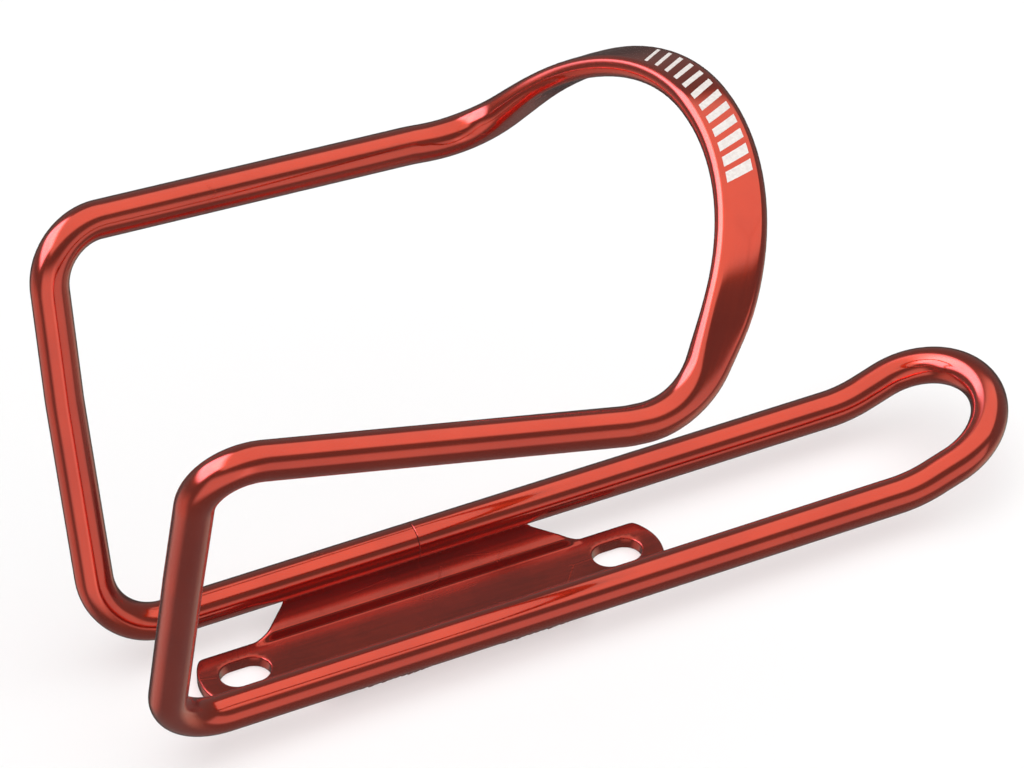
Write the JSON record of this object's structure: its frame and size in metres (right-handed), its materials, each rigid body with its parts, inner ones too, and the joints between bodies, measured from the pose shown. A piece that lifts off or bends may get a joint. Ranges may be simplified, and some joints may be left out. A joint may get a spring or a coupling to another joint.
{
  "type": "water bottle cage",
  "caption": "Bent-tube bicycle bottle cage with a flattened front hoop, raised retaining lip and slotted mounting plate.",
  "frame": {"origin": "middle of the mounting plate's flat back face, halfway between the two bolt slots", "axes": "+X along the bottle towards its neck and the retaining lip, +Y across the cage, +Z out of the frame tube towards the bottle"},
  "size_m": [0.1531, 0.0819, 0.0887],
  "materials": {
    "anodised_tube": "gloss red anodised, polished",
    "anodised_plate": "red anodised, satin",
    "anodised_weld": "red anodised over the weld",
    "bare_aluminium": "bare, turned",
    "printed_mark": "white pad print"
  },
  "bodies": {
    "root": {"cage_tube": "anodised_tube", "joint_spigot": "bare_aluminium", "mounting_plate": "anodised_plate", "weld_lower_left": "anodised_weld", "weld_lower_right": "anodised_weld", "weld_upper_left": "anodised_weld", "weld_upper_right": "anodised_weld"}
  },
  "joints": []
}
